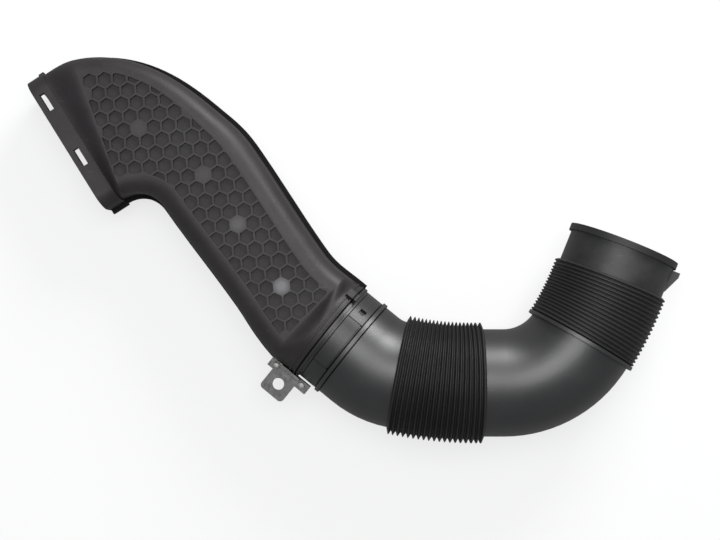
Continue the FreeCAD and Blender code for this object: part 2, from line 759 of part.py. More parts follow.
def make_shell(name, side):
    """One half of the duct with its slots, seat and bores."""
    bottom = "0" if side == UPPER else "-Sizes.flange_thickness"
    pieces = [feature(f"{name}_wall", half_shell(side)), bracket_seat(name, side)]
    if side == UPPER:
        nub = primitive("Box", f"{name}_nub", Length="Sizes.nub_size", Height="Sizes.nub_size",
                        Width="Sizes.flange_width + Sizes.nub_reach")
        corner = Vector(size.nub_inset - size.mouth_run - size.nub_size / 2, size.mouth_width / 2, 0)
        nub.Placement = mouth_place * Placement(corner, Rotation())
        pieces.append(nub)
    tool = doc.addObject("Part::Compound", f"{name}_cuts")
    tool.Links = clip_slots(name, side) + rivet_bores(name, bottom)
    return cut(name, fuse(f"{name}_solid", *pieces), tool)


upper = make_shell("upper", UPPER)
lower = make_shell("lower", LOWER)
doc.recompute()
finish_part(feature("upper_ribbed", with_pockets(upper.Shape)), "duct_upper_shell", duct_frame)
finish_part(lower, "duct_lower_shell", duct_frame)


# Mounting bracket: a strip on the seat, an upturned lip beside the duct and a tab with one hole

bracket = doc.addObject("PartDesign::Body", "bracket")
strip_end = "Sizes.seat_length / 2"
tab_left = "(Sizes.tab_offset + Sizes.tab_width / 2)"
tab_right = "(Sizes.tab_width / 2 - Sizes.tab_offset)"
tab_end = "-(Sizes.seat_width + Sizes.tab_length)"
strip_outline = sketch_on(bracket, "strip_outline", "XY_Plane", [
    (f"-{strip_end}", "0"),
    (f"-{strip_end}", "-Sizes.seat_width"),
    (f"-{tab_left}", "-Sizes.seat_width"),
    (f"-{tab_left}", tab_end),
    (tab_right, tab_end),
    (tab_right, "-Sizes.seat_width"),
    (strip_end, "-Sizes.seat_width"),
    (strip_end, "0"),
])
pad(bracket, "strip", strip_outline, "Sizes.bracket_thickness")
lip_end = "(Sizes.rivet_pitch / 2 - Sizes.rivet_head / 2 - Sizes.seat_gap)"
lip_outline = sketch_on(bracket, "lip_outline", "XY_Plane", [
    (f"-{lip_end}", "0"),
    (f"-{lip_end}", "-Sizes.bracket_thickness"),
    (lip_end, "-Sizes.bracket_thickness"),
    (lip_end, "0"),
])
lip = pad(bracket, "lip", lip_outline, "Sizes.bracket_thickness + Sizes.bracket_lip")
doc.recompute()
corner_names = []
tab_edge = float(bracket.evalExpression(tab_end))
for number, edge in enumerate(bracket.Shape.Edges, start=1):
    upright = abs(edge.tangentAt(edge.FirstParameter).z) > 0.99
    if upright and abs(edge.CenterOfMass.y - tab_edge) < size.bracket_thickness / 2:
        corner_names.append(f"Edge{number}")
rounding = bracket.newObject("PartDesign::Fillet", "tab_corners")
rounding.Base = (lip, corner_names)
rounding.setExpression("Radius", "Sizes.tab_corner")
holes = [("tab_hole", "-Sizes.tab_offset", f"{tab_end} + Sizes.tab_hole_inset", "Sizes.tab_hole / 2")]
for index, hand in enumerate((-1, 1)):
    holes.append((f"rivet_hole_{index}", f"{hand} * Sizes.rivet_pitch / 2", "-Sizes.seat_width / 2",
                  "Sizes.rivet_shank / 2 + Sizes.rivet_clearance"))
for name, x, y, radius in holes:
    sketch = circle_on(bracket, f"{name}_circle", "XY_Plane", x, y, radius)
    pocket = bracket.newObject("PartDesign::Pocket", name)
    pocket.Profile = sketch
    pocket.Type = "ThroughAll"
    pocket.Midplane = True
seat_place = [float(bracket.evalExpression(f"-{formula}")) for formula in (SEAT_X, SEAT_Y)]
bracket_corner = Vector(*seat_place, size.flange_thickness)
finish_part(bracket, "mounting_bracket", duct_frame * Placement(bracket_corner, Rotation()))

rivets = []
stack = "(2 * Sizes.flange_thickness + Sizes.bracket_thickness)"
for index, hand in enumerate((-1, 1)):
    place = {"Placement__Base__x": rivet_x(hand), "Placement__Base__y": RIVET_Y}
    shank = primitive("Cylinder", f"rivet_{index}_shank", Radius="Sizes.rivet_shank / 2", Height=stack,
                      Placement__Base__z="-Sizes.flange_thickness", **place)
    heads = [primitive("Cylinder", f"rivet_{index}_head_{end}", Radius="Sizes.rivet_head / 2",
                       Height="Sizes.rivet_head_height", Placement__Base__z=level, **place)
             for end, level in enumerate(("-Sizes.flange_thickness - Sizes.rivet_head_height",
                                          "Sizes.flange_thickness + Sizes.bracket_thickness"))]
    rivets.append(fuse(f"rivet_{index}", shank, *heads))
rivet_pair = doc.addObject("Part::Compound", "rivet_pair")
rivet_pair.Links = rivets
finish_part(rivet_pair, "bracket_rivets", duct_frame)


# Stand the whole hose on the ground with its origin under the middle of its outline

doc.recompute()
for obj, frame in parts:
    obj.Placement = frame
doc.recompute()
outline = FreeCAD.BoundBox()
for obj, frame in parts:
    outline.add(obj.Shape.optimalBoundingBox(False, False))
ground = Placement(Vector(-outline.Center.x, -outline.Center.y, -outline.ZMin), Rotation())
for obj, frame in parts:
    obj.Placement = ground * frame
doc.recompute()

# Check the document and write one file for each sub-part

for obj in doc.Objects:
    if "Invalid" in obj.State or "Error" in obj.State:
        raise RuntimeError(f"{obj.Label} failed to build")
for obj, frame in parts:
    if obj.Shape.isNull() or not obj.Shape.isValid():
        raise RuntimeError(f"{obj.Label} has no valid shape")
os.makedirs("parts", exist_ok=True)
for obj, frame in parts:
    obj.Shape.exportStep(f"parts/{obj.Label}.step")
    print(obj.Label, len(obj.Shape.Solids), "solids", round(obj.Shape.Volume), "mm3")
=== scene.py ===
# %% [markdown]
# # An air intake hose, dressed for the camera
# The hose is already modelled as solids: a flat ribbed duct, a snap coupling, smooth pipes, two bellows
# and a cuff. This lesson loads those solids, lights them and gives each one the surface it has in life.
# The box of the solids is kept.

# %% Load the solids
import bpy
import json
import math
from mathutils import Matrix, Vector

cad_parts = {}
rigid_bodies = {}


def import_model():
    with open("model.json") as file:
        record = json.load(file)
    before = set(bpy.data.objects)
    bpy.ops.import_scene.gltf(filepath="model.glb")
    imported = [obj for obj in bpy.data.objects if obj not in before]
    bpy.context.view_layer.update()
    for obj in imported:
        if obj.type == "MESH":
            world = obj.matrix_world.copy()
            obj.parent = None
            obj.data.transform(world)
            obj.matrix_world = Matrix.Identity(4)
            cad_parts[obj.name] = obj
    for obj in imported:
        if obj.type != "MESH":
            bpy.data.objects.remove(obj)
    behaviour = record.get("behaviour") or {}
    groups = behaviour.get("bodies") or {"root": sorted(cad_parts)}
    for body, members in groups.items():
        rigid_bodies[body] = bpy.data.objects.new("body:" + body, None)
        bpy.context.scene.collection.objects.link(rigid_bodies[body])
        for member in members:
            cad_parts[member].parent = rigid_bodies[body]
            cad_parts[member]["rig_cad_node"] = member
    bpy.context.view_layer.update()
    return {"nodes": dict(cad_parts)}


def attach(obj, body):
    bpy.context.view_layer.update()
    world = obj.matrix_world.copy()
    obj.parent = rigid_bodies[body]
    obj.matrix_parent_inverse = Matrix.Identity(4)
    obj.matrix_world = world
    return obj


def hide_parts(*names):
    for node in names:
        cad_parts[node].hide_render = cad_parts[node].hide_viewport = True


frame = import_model()
nodes = frame["nodes"]
MILLIMETRE = 0.001

# %% [markdown]
# ## The camera
# The hose was seen from straight above, from about a metre away, so its sides hardly show. A camera with no
# turn looks down -Z with +Y at the top of the picture, which is just that. The lens follows from the width
# of the field at the height of the pipe's axis.

# %% Camera straight above the hose
FIELD_WIDTH = 0.5112
SENSOR_WIDTH = 36.0
CAMERA_DISTANCE = 1.0
AXIS_HEIGHT = 0.045
CAMERA_PLACE = (0.0059, -0.0151)

bpy.ops.object.select_all(action="DESELECT")
bpy.ops.object.camera_add(location=(*CAMERA_PLACE, AXIS_HEIGHT + CAMERA_DISTANCE), rotation=(0, 0, 0))
camera = bpy.context.object
camera.name = "overhead_camera"
camera.data.sensor_width = SENSOR_WIDTH
camera.data.lens = SENSOR_WIDTH * CAMERA_DISTANCE / FIELD_WIDTH
bpy.context.scene.camera = camera
print("lens:", round(camera.data.lens, 1), "mm")

# %% [markdown]
# ## Small steps between sockets
# Every surface below is a chain of small steps over the place and the slope of a point. One function feeds
# an input, from a socket or from a plain number, and the others build on it, so that each chain reads as a
# short list of steps.


# %% Sums, masks and mixes
def feed(tree, socket, value):
    """Link a socket to an input, or set the input to a plain value."""
    if isinstance(value, bpy.types.NodeSocket):
        tree.links.new(value, socket)
    else:
        socket.default_value = value


def summed(tree, operation, *values):
    """A sum of the named kind over sockets or numbers."""
    node = tree.nodes.new("ShaderNodeMath")
    node.operation = operation
    for socket, value in zip(node.inputs, values):
        feed(tree, socket, value)
    return node.outputs["Value"]


def product(tree, first, second):
    """Two values multiplied."""
    return summed(tree, "MULTIPLY", first, second)


def larger(tree, first, second):
    """The larger of two values."""
    return summed(tree, "MAXIMUM", first, second)


def distance(tree, source, place):
    """How far a value is from a number, whichever way."""
    return summed(tree, "ABSOLUTE", summed(tree, "SUBTRACT", source, place))


def threshold(tree, source, edge, above=True):
    """One where a value is above, or below, an edge."""
    return summed(tree, "GREATER_THAN" if above else "LESS_THAN", source, edge)


def between(tree, source, low, high):
    """One where a value lies between two edges."""
    return product(tree, threshold(tree, source, low), threshold(tree, source, high, above=False))


def spread(tree, source, start, end, low=0.0, high=1.0):
    """From low to high while the source goes from start to end, and level beyond."""
    node = tree.nodes.new("ShaderNodeMapRange")
    for label, number in (("From Min", start), ("From Max", end), ("To Min", low), ("To Max", high)):
        node.inputs[label].default_value = number
    tree.links.new(source, node.inputs["Value"])
    return node.outputs["Result"]


def fading(tree, source, full, none):
    """One up to a near value, fading to nothing at a far one."""
    return spread(tree, source, full, none, 1.0, 0.0)


def vector_step(tree, operation, source, other):
    """A node that works on a vector socket and three plain numbers."""
    node = tree.nodes.new("ShaderNodeVectorMath")
    node.operation = operation
    tree.links.new(source, node.inputs[0])
    node.inputs[1].default_value = other
    return node


def along(tree, source, direction, origin=None):
    """How far a vector reaches along a direction, from an optional point."""
    if origin is not None:
        source = vector_step(tree, "SUBTRACT", source, origin).outputs["Vector"]
    return vector_step(tree, "DOT_PRODUCT", source, direction).outputs["Value"]


def colour_mix(tree, share, first, second):
    """Two colours mixed by a share; either may be a socket or four numbers."""
    node = tree.nodes.new("ShaderNodeMix")
    node.data_type = "RGBA"
    for label, value in (("Factor", share), ("A", first), ("B", second)):
        feed(tree, node.inputs[label], value)
    return node.outputs["Result"]


def shader_mix(tree, share, first, second):
    """Two shaders mixed by a share."""
    node = tree.nodes.new("ShaderNodeMixShader")
    for socket, source in zip(node.inputs, (share, first, second)):
        tree.links.new(source, socket)
    return node.outputs["Shader"]


def new_finish(name):
    """A new material with its tree, its shader and the place of each point on the hose."""
    material = bpy.data.materials.new(name)
    material.use_nodes = True
    tree = material.node_tree
    where = tree.nodes.new("ShaderNodeTexCoord").outputs["Object"]
    return material, tree, tree.nodes["Principled BSDF"], where


def dress(piece, finish):
    """Give a piece one finish in place of any it had."""
    piece.data.materials.clear()
    piece.data.materials.append(finish)


print("steps are ready")

# %% [markdown]
# ## Floor and light
# Black plastic shows almost nothing of its own colour: what the eye reads is the reflection of the lamp. One
# wide soft box a little to the upper side of the camera gives the long soft highlights along the crests of
# the pipes. A smaller one stands low at the upper right: it lights the duct's shoulder and leaves a dark
# crescent in each pocket of the honeycomb. A dim room keeps the flanks dark.

# %% Pale floor
FLOOR_SIZE = 8.0
FLOOR_DROP = 0.0005
PAPER_TONE = (0.93, 0.93, 0.93, 1)
PAPER_ROUGHNESS = 0.9
PAPER_GLOSS = 0.1

bpy.ops.object.select_all(action="DESELECT")
bpy.ops.mesh.primitive_plane_add(size=FLOOR_SIZE, location=(0, 0, -FLOOR_DROP))
floor = bpy.context.object
floor.name = "floor"
paper = bpy.data.materials.new("pale_paper")
paper.use_nodes = True
paper_tree = paper.node_tree
paper_shader = paper_tree.nodes["Principled BSDF"]
paper_shader.inputs["Base Color"].default_value = PAPER_TONE
paper_shader.inputs["Roughness"].default_value = PAPER_ROUGHNESS
paper_shader.inputs["Specular IOR Level"].default_value = PAPER_GLOSS
dress(floor, paper)
print("floor:", floor.name)

# %% [markdown]
# The paper should read as white in the picture without more light on the hose. Light Path tells which rays
# come from the eye, and for those the paper is mostly a plain white, with enough of its lit self left to
# carry the hose's soft shadow. Rays from a reflection see a dimmer paper, so the pipes' flanks stay dark.
# The back of the paper is clear, so that the hose can also be looked at from below.

# %% White paper for the eye
WHITE_SHARE = 0.72
REFLECTED_WHITE = 0.12

rays = paper_tree.nodes.new("ShaderNodeLightPath").outputs
white = paper_tree.nodes.new("ShaderNodeEmission")
white.inputs["Color"].default_value = (1, 1, 1, 1)
glow = spread(paper_tree, rays["Is Camera Ray"], 0.0, 1.0, REFLECTED_WHITE, 1.0)
paper_tree.links.new(glow, white.inputs["Strength"])
seen = rays["Is Camera Ray"]
for ray_kind in ("Is Glossy Ray", "Is Transmission Ray"):
    seen = larger(paper_tree, seen, rays[ray_kind])
front = shader_mix(paper_tree, product(paper_tree, seen, WHITE_SHARE),
                   paper_shader.outputs["BSDF"], white.outputs["Emission"])
clear = paper_tree.nodes.new("ShaderNodeBsdfTransparent")
side = paper_tree.nodes.new("ShaderNodeNewGeometry")
both_sides = shader_mix(paper_tree, side.outputs["Backfacing"], front, clear.outputs["BSDF"])
paper_tree.links.new(both_sides, paper_tree.nodes["Material Output"].inputs["Surface"])
print("white share:", WHITE_SHARE)

# %% Soft boxes and a dim room
HOSE_MIDDLE = (0.0, 0.0, AXIS_HEIGHT)
KEY_PLACE = (0.02, 0.22, 1.50)
KEY_SIZE = (1.0, 0.75)
KEY_POWER = 11.5
FILL_PLACE = (0.55, 1.1, 0.66)
FILL_SIZE = (0.6, 0.5)
FILL_POWER = 17.0
ROOM_TONE = (0.9, 0.92, 0.95, 1)
ROOM_STRENGTH = 0.35


def soft_box(name, place, size, power):
    """An area lamp that faces the middle of the hose."""
    bpy.ops.object.light_add(type="AREA", location=place)
    lamp = bpy.context.object
    lamp.name = name
    lamp.data.shape = "RECTANGLE"
    lamp.data.size, lamp.data.size_y = size
    lamp.data.energy = power
    lamp.rotation_euler = (Vector(HOSE_MIDDLE) - Vector(place)).to_track_quat("-Z", "Y").to_euler()
    return lamp


key = soft_box("key_box", KEY_PLACE, KEY_SIZE, KEY_POWER)
fill = soft_box("fill_box", FILL_PLACE, FILL_SIZE, FILL_POWER)
room = bpy.context.scene.world or bpy.data.worlds.new("dim_room")
bpy.context.scene.world = room
room.use_nodes = True
backdrop = room.node_tree.nodes["Background"]
backdrop.inputs["Color"].default_value = ROOM_TONE
backdrop.inputs["Strength"].default_value = ROOM_STRENGTH
bpy.context.scene.view_settings.view_transform = "Standard"
print("lamps:", key.name, fill.name)

# %% [markdown]
# ## Shared effects
# Several finishes share the same small faults: a moulded grain, slow changes of tone over the length of the
# hose, and fine scuffs from handling. They are built once, as a group of nodes with named sockets, and each
# finish sets its own sizes. The pattern lies in object space, so it stays on the hose from every side.

# %% A group for the moulded skin
TONE_SCALE = 17.0
TONE_DETAIL = 3.0
FINE_DETAIL = 2.0
SCRATCH_STRETCH = (60.0, 520.0, 520.0)
SCRATCH_TURN = (0.2, 0.4, 0.7)
SCRATCH_CUT = (0.66, 0.78)
PATCH_SCALE = 26.0
PATCH_CUT = (0.46, 0.7)


def noise(tree, where, scale, detail, roughness=0.5):
    """A noise over a place; its scale may be a socket or a number."""
    node = tree.nodes.new("ShaderNodeTexNoise")
    tree.links.new(where, node.inputs["Vector"])
    feed(tree, node.inputs["Scale"], scale)
    node.inputs["Detail"].default_value = detail
    node.inputs["Roughness"].default_value = roughness
    return node.outputs["Fac"]


def new_group(name, outputs, numbers=()):
    """An empty shader group that takes a place and any named numbers, and gives named values."""
    tree = bpy.data.node_groups.new(name, "ShaderNodeTree")
    tree.interface.new_socket(name="Where", in_out="INPUT", socket_type="NodeSocketVector")
    for label in numbers:
        tree.interface.new_socket(name=label, in_out="INPUT", socket_type="NodeSocketFloat")
    for label in outputs:
        tree.interface.new_socket(name=label, in_out="OUTPUT", socket_type="NodeSocketFloat")
    return tree, tree.nodes.new("NodeGroupInput").outputs, tree.nodes.new("NodeGroupOutput").inputs


def group_node(tree, group, where):
    """A shared group in a material, fed with the place of each point."""
    node = tree.nodes.new("ShaderNodeGroup")
    node.node_tree = group
    tree.links.new(where, node.inputs["Where"])
    return node


moulded_skin, skin_in, skin_out = new_group("moulded_skin", ["Tone", "Grain", "Scuff"], ["Grain Scale"])
stretch = moulded_skin.nodes.new("ShaderNodeMapping")
stretch.inputs["Scale"].default_value = SCRATCH_STRETCH
stretch.inputs["Rotation"].default_value = SCRATCH_TURN
moulded_skin.links.new(skin_in["Where"], stretch.inputs["Vector"])
tone = noise(moulded_skin, skin_in["Where"], TONE_SCALE, TONE_DETAIL)
grain = noise(moulded_skin, skin_in["Where"], skin_in["Grain Scale"], FINE_DETAIL)
scratches = noise(moulded_skin, stretch.outputs["Vector"], 1.0, FINE_DETAIL)
patches = noise(moulded_skin, skin_in["Where"], PATCH_SCALE, FINE_DETAIL)
scuff = product(moulded_skin, spread(moulded_skin, scratches, *SCRATCH_CUT),
                spread(moulded_skin, patches, *PATCH_CUT))
for label, value in (("Tone", tone), ("Grain", grain), ("Scuff", scuff)):
    moulded_skin.links.new(value, skin_out[label])
print("group:", moulded_skin.name)

# %% [markdown]
# ## Settled dust
# Plastic under a bonnet is never quite clean. A thin grey film lies on what faces up and is patchy, and it
# lifts the black of the duct's flat face a little. The mask reads only the surface's own normal and place.

# %% A group for dust
FACING_UP = (0.3, 1.0)
FILM_SCALE = 70.0
FILM_DETAIL = 5.0
FILM_ROUGHNESS = 0.65
FILM_CUT = (0.35, 0.75)

settled_dust, dust_in, dust_out = new_group("settled_dust", ["Dust"])
surface = settled_dust.nodes.new("ShaderNodeNewGeometry")
upward = settled_dust.nodes.new("ShaderNodeSeparateXYZ")
settled_dust.links.new(surface.outputs["Normal"], upward.inputs["Vector"])
facing_up = spread(settled_dust, upward.outputs["Z"], *FACING_UP)
film = noise(settled_dust, dust_in["Where"], FILM_SCALE, FILM_DETAIL, FILM_ROUGHNESS)
film = spread(settled_dust, film, *FILM_CUT)
settled_dust.links.new(product(settled_dust, facing_up, film), dust_out["Dust"])
print("group:", settled_dust.name)

# %% [markdown]
# ## Honeycomb shade
# The duct's flat face is a honeycomb of shallow pockets. Their floors keep the mould's dull skin and are
# painted darker as a painted shade, while the rib tops between them are painted a little brighter as a
# painted highlight. Painting the cells one by one would be slow, but the floors are the only surfaces that
# lie level at one known depth, so height and slope find them. Height alone finds the flange along the duct's
# edges, where its two shells meet, which is painted dark as the shade in the seam.

# %% The coupling's own directions
DUCT_PLACE = Vector((-0.001623, -0.069549, 0.040280))
DUCT_AHEAD = Vector((0.774536, -0.629155, 0.065252))
DUCT_LEFT = Vector((0.627702, 0.777245, 0.043358))
DUCT_UP = Vector((-0.077995, 0.007377, 0.996926))


def duct_point(ahead, left, up):
    """A point given in millimetres from the coupling's ring: along the air, to the left and up."""
    return DUCT_PLACE + (DUCT_AHEAD * ahead + DUCT_LEFT * left + DUCT_UP * up) * MILLIMETRE


print("coupling's ring:", [round(value, 4) for value in DUCT_PLACE])

# %% A group that finds the pocket floors, the ribs and the flange
RIB_TOP = 0.0320
POCKET_DEPTH = 0.0020
FLOOR_LOW = RIB_TOP - POCKET_DEPTH * 1.4
FLOOR_HIGH = RIB_TOP - POCKET_DEPTH * 0.6
RIB_LOW = RIB_TOP - POCKET_DEPTH * 0.2
LEVEL = 0.997
FLANGE_REACH = 0.0024

honeycomb, comb_in, comb_out = new_group("honeycomb_shade", ["Pocket", "Rib", "Flange"])
height = along(honeycomb, comb_in["Where"], DUCT_UP, DUCT_PLACE)
slope = honeycomb.nodes.new("ShaderNodeNewGeometry").outputs["True Normal"]
level = threshold(honeycomb, along(honeycomb, slope, DUCT_UP), LEVEL)
floors = product(honeycomb, level, between(honeycomb, height, FLOOR_LOW, FLOOR_HIGH))
ribs = product(honeycomb, level, threshold(honeycomb, height, RIB_LOW))
flange = between(honeycomb, height, -FLANGE_REACH, FLANGE_REACH)
for label, value in (("Pocket", floors), ("Rib", ribs), ("Flange", flange)):
    honeycomb.links.new(value, comb_out[label])
print("group:", honeycomb.name)

# %% [markdown]
# ## Shade in the seams
# Where two mouldings meet at the coupling, a fine dark line is painted as the shade in the gap. All these
# seams are rings about the coupling's axis, so the distance along that axis is enough to find them: behind
# the collar, at the edge of its flange, between the collar and the pipe's bead, and in front of the bead. The
# collar's grip pad has a painted dark line at each end as well, found by the turn about the axis.

# %% A group for the painted shade in the seams
SEAMS = [(-17.6, 0.9), (-13.0, 0.5), (-0.4, 0.8), (3.3, 0.7)]
SEAM_CORE = 0.4
PAD_BACK = -0.0130
PAD_FRONT = -0.0004
PAD_HALF_TURN = math.radians(29.8)
PAD_SEAM = math.radians(1.4)

seam_shade_lines, seam_in, seam_out = new_group("seam_shade_lines", ["Seam"])
axial, leftward, up_reach = [along(seam_shade_lines, seam_in["Where"], direction, DUCT_PLACE)
                             for direction in (DUCT_AHEAD, DUCT_LEFT, DUCT_UP)]
turn = summed(seam_shade_lines, "ARCTAN2", leftward, up_reach)
pad_end = distance(seam_shade_lines, distance(seam_shade_lines, turn, 0.0), PAD_HALF_TURN)
pad_mask = fading(seam_shade_lines, pad_end, PAD_SEAM * SEAM_CORE, PAD_SEAM)
seam_mask = product(seam_shade_lines, pad_mask, between(seam_shade_lines, axial, PAD_BACK, PAD_FRONT))
for seam_place, half_width in SEAMS:
    away = distance(seam_shade_lines, axial, seam_place * MILLIMETRE)
    near = fading(seam_shade_lines, away, half_width * SEAM_CORE * MILLIMETRE, half_width * MILLIMETRE)
    seam_mask = larger(seam_shade_lines, seam_mask, near)
seam_shade_lines.links.new(seam_mask, seam_out["Seam"])
print("group:", seam_shade_lines.name, "seams:", len(SEAMS))

# %% [markdown]
# ## Highlights on the whole cells
# Four cells of the honeycomb are left whole. They stand proud of the pockets, and each gets a pale spot as a
# painted highlight, the one nearest the coupling the brightest, so each spot has its own strength.

# %% A group for the painted highlights on the whole cells
HIGHLIGHT_CELLS = [(-209.3, 27.7, 0.1), (-153.5, 31.1, 0.14), (-112.8, 19.4, 0.35), (-61.8, 5.3, 1.0)]
SPOT_CORE = 0.0022
SPOT_EDGE = 0.0082

cell_highlights, cells_in, cells_out = new_group("cell_highlights", ["Worn"])
glint_mask = 0.0
for cell_ahead, cell_left, strength in HIGHLIGHT_CELLS:
    middle = duct_point(cell_ahead, cell_left, RIB_TOP / MILLIMETRE)
    reach = vector_step(cell_highlights, "DISTANCE", cells_in["Where"], middle).outputs["Value"]
    # Each spot is a painted highlight, pale in the middle and fading out.
    spot = product(cell_highlights, fading(cell_highlights, reach, SPOT_CORE, SPOT_EDGE), strength)
    glint_mask = larger(cell_highlights, glint_mask, spot)
cell_highlights.links.new(glint_mask, cells_out["Worn"])
print("group:", cell_highlights.name, "cells:", len(HIGHLIGHT_CELLS))

# %% [markdown]
# ## The black finishes
# Six blacks make up the hose: the grained matte duct, the satin coupling, the glossy blown pipes, the cuff
# that plugging has dulled, the soft bellows and the seals. They differ in how dark they are, how rough and
# how coarse their grain is, so one recipe with those values makes all six.

# %% Recipe for a black moulding
NOISE_RANGE = (0.3, 0.7)
SCUFF_GREY = (0.16, 0.16, 0.16, 1)
DUST_GREY = (0.22, 0.21, 0.20, 1)
# Near-black painted into the seams as the shade in their gaps.
SEAM_SHADOW = (0.002, 0.002, 0.002, 1)
SEAM_SHARE = 0.9
SEAM_GLOSS = 0.08
GRAIN_STRENGTH = 0.5


def ranged(tree, source, low, high):
    """A noise, whose values lie mostly about its middle, spread over a new range."""
    return spread(tree, source, *NOISE_RANGE, low, high)


def relief(tree, shader, source, strength, depth):
    """Fine relief on a shader's normal."""
    node = tree.nodes.new("ShaderNodeBump")
    node.inputs["Strength"].default_value = strength
    node.inputs["Distance"].default_value = depth
    tree.links.new(source, node.inputs["Height"])
    tree.links.new(node.outputs["Normal"], shader.inputs["Normal"])


def black_moulding(name, dark, pale, rough, gloss, grain_scale, grain_depth, scuffs, dusty):
    """A moulded black: dark to pale tones, a range of roughness, gloss, grain, scuffs, dust and a painted
    shade in the seams.
    """
    material, tree, shader, where = new_finish(name)
    skin = group_node(tree, moulded_skin, where)
    skin.inputs["Grain Scale"].default_value = grain_scale
    dust = group_node(tree, settled_dust, where).outputs["Dust"]
    seam_shade = group_node(tree, seam_shade_lines, where).outputs["Seam"]
    colour = colour_mix(tree, ranged(tree, skin.outputs["Tone"], 0.0, 1.0), (*dark, 1), (*pale, 1))
    colour = colour_mix(tree, product(tree, skin.outputs["Scuff"], scuffs), colour, SCUFF_GREY)
    colour = colour_mix(tree, product(tree, dust, dusty), colour, DUST_GREY)
    # The seams are darkened with a painted shade, and their sheen drops.
    colour = colour_mix(tree, product(tree, seam_shade, SEAM_SHARE), colour, SEAM_SHADOW)
    tree.links.new(colour, shader.inputs["Base Color"])
    tree.links.new(spread(tree, seam_shade, 0.0, 1.0, gloss, SEAM_GLOSS), shader.inputs["Specular IOR Level"])
    tree.links.new(ranged(tree, skin.outputs["Tone"], *rough), shader.inputs["Roughness"])
    relief(tree, shader, skin.outputs["Grain"], GRAIN_STRENGTH, grain_depth)
    return material


print("noise range:", NOISE_RANGE)

# %% The six blacks
DUCT = black_moulding(
    "grained_duct_black", dark=(0.0195, 0.0165, 0.0178), pale=(0.027, 0.0232, 0.0248), rough=(0.46, 0.56),
    gloss=0.4, grain_scale=1500.0, grain_depth=0.00012, scuffs=0.35, dusty=0.05)
COLLAR = black_moulding(
    "satin_collar_black", dark=(0.014, 0.014, 0.0145), pale=(0.02, 0.02, 0.0205), rough=(0.4, 0.48),
    gloss=0.65, grain_scale=1700.0, grain_depth=0.00006, scuffs=0.3, dusty=0.04)
PIPE = black_moulding(
    "blown_pipe_black", dark=(0.006, 0.006, 0.0065), pale=(0.010, 0.010, 0.0105), rough=(0.38, 0.46),
    gloss=1.0, grain_scale=900.0, grain_depth=0.00004, scuffs=0.25, dusty=0.03)
CUFF = black_moulding(
    "dulled_cuff_black", dark=(0.009, 0.009, 0.0095), pale=(0.017, 0.017, 0.0175), rough=(0.44, 0.56),
    gloss=0.6, grain_scale=1100.0, grain_depth=0.00005, scuffs=0.5, dusty=0.1)
BELLOWS = black_moulding(
    "bellows_black", dark=(0.0125, 0.012, 0.0128), pale=(0.0185, 0.018, 0.0188), rough=(0.5, 0.6),
    gloss=0.48, grain_scale=1900.0, grain_depth=0.00006, scuffs=0.15, dusty=0.03)
SEAL = black_moulding(
    "seal_black", dark=(0.011, 0.011, 0.011), pale=(0.016, 0.016, 0.016), rough=(0.5, 0.6),
    gloss=0.5, grain_scale=1900.0, grain_depth=0.00005, scuffs=0.1, dusty=0.02)
print("blacks:", [black.name for black in (DUCT, COLLAR, PIPE, CUFF, BELLOWS, SEAL)])

# %% [markdown]
# The duct's black gets the honeycomb on top. Its colour takes four more layers of painted light and shade: a
# painted shade on the pocket floors and on the flange, and painted highlights on the rib tops and the whole
# cells.
# Its sheen is lowered on the flange, and its roughness is raised on the pocket floors.

# %% Painted shade in the pockets and on the flange, painted highlights on the ribs and whole cells
# The pocket floors and the flange are painted darker as shade; the rib tops are painted lighter as a
# highlight.
POCKET_SHARE = 0.12
POCKET_SHADE = (0.004, 0.0038, 0.004, 1)
POCKET_DULLNESS = 0.08
RIB_SHARE = 0.04
RIB_HIGHLIGHT = (0.05, 0.047, 0.049, 1)
FLANGE_SHARE = 0.7
FLANGE_SHADE = (0.003, 0.003, 0.003, 1)
FLANGE_SHEEN = 1.0 / 6.0
# A pale grey painted on the whole cells as their highlight.
CELL_HIGHLIGHT = (0.17, 0.165, 0.17, 1)

duct_tree = DUCT.node_tree
duct_shader = duct_tree.nodes["Principled BSDF"]
duct_where = duct_tree.nodes.new("ShaderNodeTexCoord").outputs["Object"]
comb = group_node(duct_tree, honeycomb, duct_where).outputs
cells = group_node(duct_tree, cell_highlights, duct_where).outputs
colour, sheen, roughness = [duct_shader.inputs[label].links[0].from_socket
                            for label in ("Base Color", "Specular IOR Level", "Roughness")]
layers = [
    # Painted shade on the pocket floors and the flange, painted highlights on the rib tops and the whole
    # cells.
    (comb["Pocket"], POCKET_SHARE, POCKET_SHADE),
    (comb["Rib"], RIB_SHARE, RIB_HIGHLIGHT),
    (comb["Flange"], FLANGE_SHARE, FLANGE_SHADE),
    (cells["Worn"], comb["Rib"], CELL_HIGHLIGHT),
]
for mask, share, layer in layers:
    colour = colour_mix(duct_tree, product(duct_tree, mask, share), colour, layer)
sheen = product(duct_tree, sheen, spread(duct_tree, comb["Flange"], 0.0, 1.0, 1.0, FLANGE_SHEEN))
roughness = summed(duct_tree, "ADD", roughness, product(duct_tree, comb["Pocket"], POCKET_DULLNESS))
duct_tree.links.new(colour, duct_shader.inputs["Base Color"])
duct_tree.links.new(sheen, duct_shader.inputs["Specular IOR Level"])
duct_tree.links.new(roughness, duct_shader.inputs["Roughness"])
print("layers on the duct:", len(layers))

# %% [markdown]
# ## Zinc on the bracket and rivets
# The tab is a small stamped steel plate with a dull zinc coat. Zinc dries in irregular flakes, each of
# which turns the light a little differently, so a cell pattern drives the tone, and a cloud over it drives
# the roughness as well.

# %% A dull zinc
ZINC_METAL = 0.85
ZINC_ROUGHNESS = (0.38, 0.6)
FLAKE_SCALE = 420.0
CLOUD_SCALE = 260.0
CLOUD_DETAIL = 4.0
ZINC_STRENGTH = 0.3
ZINC_DEPTH = 0.00005


